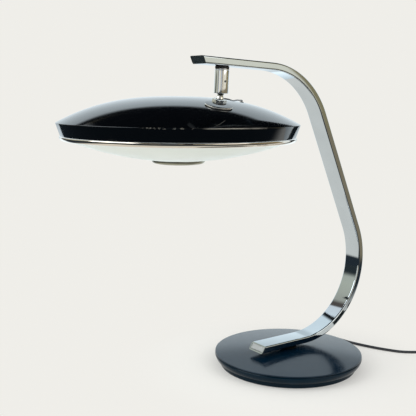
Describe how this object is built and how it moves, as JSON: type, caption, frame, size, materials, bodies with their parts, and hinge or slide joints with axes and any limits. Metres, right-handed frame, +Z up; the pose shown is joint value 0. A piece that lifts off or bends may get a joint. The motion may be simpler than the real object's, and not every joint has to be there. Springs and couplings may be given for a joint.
{
  "type": "desk lamp",
  "caption": "Desk lamp with a saucer shade hung on a ball joint under a bent chrome arm of rectangular tube, which swivels on a heavy round base.",
  "frame": {"origin": "on the table, under the middle of the round base", "axes": "+Z up; the arm lies in the XZ plane, sweeping out to +X and coming back over the base towards -X; the shade is swung round to +Y"},
  "size_m": [0.5939, 0.447, 0.4284],
  "materials": {
    "chrome": "polished",
    "black_lacquer": "gloss",
    "satin_black": "satin",
    "black_plastic": "satin",
    "grey_plug": "satin",
    "steel": "plain",
    "brass": "plain",
    "iron": "as cast",
    "felt": "felt",
    "rubber": "matt",
    "nylon": "natural",
    "frosted_glass": "frosted",
    "bulb_glass": "opal",
    "porcelain": "glazed",
    "cable": "satin"
  },
  "bodies": {
    "base": {"base_felt": "felt", "base_pan": "satin_black", "base_weight": "iron", "base_band": "satin_black", "base_top": "satin_black", "pivot_tube": "steel", "pivot_nut_1": "steel", "pivot_nut_2": "steel", "foot_spacer": "black_plastic", "swivel_washer": "steel", "swivel_nut": "brass", "cord_relief": "rubber", "base_flex": "cable", "mains_cord_near": "cable", "mains_cord_far": "cable", "cord_coil": "cable", "coil_tie": "cable", "plug_body": "black_plastic", "plug_pin_1": "brass", "plug_pin_2": "brass", "switch_lower": "black_plastic", "switch_upper": "black_plastic", "rocker_pin": "steel"},
    "rocker": {"switch_rocker": "black_plastic"},
    "arm": {"arm_tube": "chrome", "foot_end_plug": "grey_plug", "tip_cap": "black_plastic", "arm_flex": "cable", "swivel_bush": "nylon", "stem_washer": "rubber"},
    "stem": {"stem_ring": "chrome", "stem_tube": "chrome", "stem_bolt": "steel", "stem_nut": "brass", "ball_spring": "steel", "ball_seat": "nylon", "set_screw": "iron"},
    "liner": {"ball_liner": "nylon"},
    "shade": {"ball_neck": "chrome", "neck_nut": "chrome", "neck_flange": "chrome", "dome_washer": "steel", "dome_nut": "steel", "shade_shell": "black_lacquer", "bezel_ring": "chrome", "diffuser_glass": "frosted_glass", "centre_disc": "chrome", "centre_rod": "steel", "rod_top_nut": "steel", "rod_lower_nut": "steel", "cross_bar": "steel", "holder_bracket": "steel", "lamp_holder_1": "porcelain", "lamp_holder_2": "porcelain", "bulb_1": "bulb_glass", "bulb_2": "bulb_glass", "terminal_block": "porcelain", "head_lead": "cable", "head_grommet": "rubber", "inner_lead": "cable"}
  },
  "joints": [
    {"name": "base_swivel", "type": "hinge", "parent": "base", "child": "arm", "pos_m": [0, 0, 0.03], "axis": [0, 0, 1], "range_deg": [-170, 170]},
    {"name": "stem_swivel", "type": "hinge", "parent": "arm", "child": "stem", "pos_m": [-0.12507, 0, 0.41706], "axis": [0.0419, 0, 0.9991], "range_deg": [-5, 180]},
    {"name": "shade_tilt", "type": "hinge", "parent": "stem", "child": "liner", "pos_m": [-0.12636, 0, 0.38629], "axis": [0.9954, -0.0958, 0], "range_deg": [-34, 6]},
    {"name": "shade_roll", "type": "hinge", "parent": "liner", "child": "shade", "pos_m": [-0.12636, 0, 0.38629], "axis": [-0.0958, -0.9954, 0], "range_deg": [-8, 8]},
    {"name": "switch_rock", "type": "hinge", "parent": "base", "child": "rocker", "pos_m": [0.2067, -0.1273, 0.0138], "axis": [0.848, 0.5299, 0], "range_deg": [-16, 0]}
  ]
}
